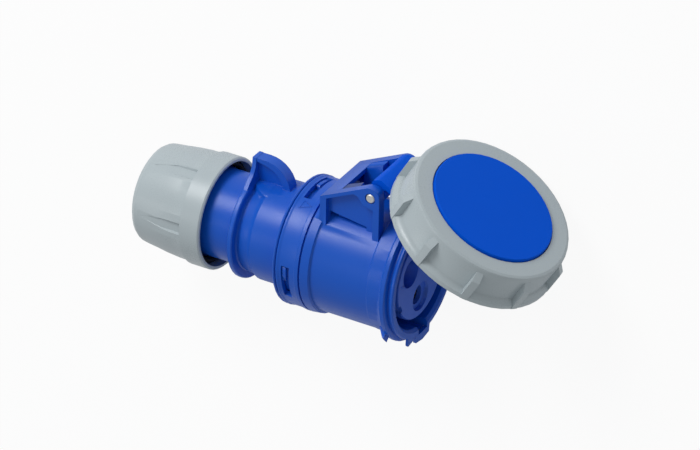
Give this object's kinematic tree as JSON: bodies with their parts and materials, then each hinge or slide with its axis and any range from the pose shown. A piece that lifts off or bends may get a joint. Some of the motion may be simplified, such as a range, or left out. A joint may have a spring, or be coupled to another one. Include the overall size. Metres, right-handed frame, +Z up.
{
  "type": "cable connector socket",
  "caption": "Round splash-proof cable connector with a two-part moulded housing, contact insert, hinged lid with bayonet ring and a gland nut.",
  "frame": {"origin": "middle of the outline on the surface that the connector lies on", "axes": "+X from the gland nut to the mouth, +Y to the side on which the lid stands open, +Z up"},
  "size_m": [0.1836, 0.0868, 0.074],
  "materials": {
    "housing_blue": "satin moulded blue plastic",
    "lid_blue": "satin moulded blue plastic",
    "ring_grey": "satin moulded grey plastic",
    "black_rubber": "matt",
    "brass": "turned",
    "steel": "bright",
    "claw_plastic": "plain"
  },
  "bodies": {
    "front": {"front_housing": "housing_blue", "contact_insert": "housing_blue", "hinge_pin": "steel", "sleeve_line": "brass", "sleeve_spring_line": "steel", "terminal_screw_line": "steel", "sleeve_neutral": "brass", "sleeve_spring_neutral": "steel", "terminal_screw_neutral": "steel", "sleeve_earth": "brass", "sleeve_spring_earth": "steel", "terminal_screw_earth": "steel"},
    "rear": {"rear_housing": "housing_blue", "housing_seal": "black_rubber", "gland_claws": "claw_plastic", "gland_seal": "black_rubber"},
    "washer": {"thrust_ring": "claw_plastic"},
    "nut": {"gland_nut": "ring_grey"},
    "lid": {"lid_cap": "lid_blue", "lid_gasket": "black_rubber"},
    "ring": {"lid_ring": "ring_grey"}
  },
  "joints": [
    {"name": "lid_hinge", "type": "hinge", "parent": "front", "child": "lid", "pos_m": [0.01712, 0.02272, 0.03824], "axis": [-0.0187, -0.2718, 0.9622], "range_deg": [-59.56, 50]},
    {"name": "ring_turn", "type": "hinge", "parent": "lid", "child": "ring", "pos_m": [0.0632, 0.02567, 0.03997], "axis": [0.502, 0.8297, 0.2442], "range_deg": [0, 25]},
    {"name": "housing_twist", "type": "hinge", "parent": "front", "child": "rear", "pos_m": [-0.00807, -0.01404, 0.02737], "axis": [0.9998, 0, 0.0195], "range_deg": [0, 16]},
    {"name": "nut_travel", "type": "slide", "parent": "rear", "child": "washer", "axis": [-0.9998, 0, -0.0195], "range_m": [0, 0.009]},
    {"name": "nut_turn", "type": "hinge", "parent": "washer", "child": "nut", "pos_m": [-0.07491, -0.01404, 0.02607], "axis": [-0.9998, 0, -0.0195], "range_deg": [0, 1080]}
  ],
  "couplings": [
    {"joint": "nut_travel", "follows": "nut_turn", "m_per_rad": 0.00047746}
  ]
}
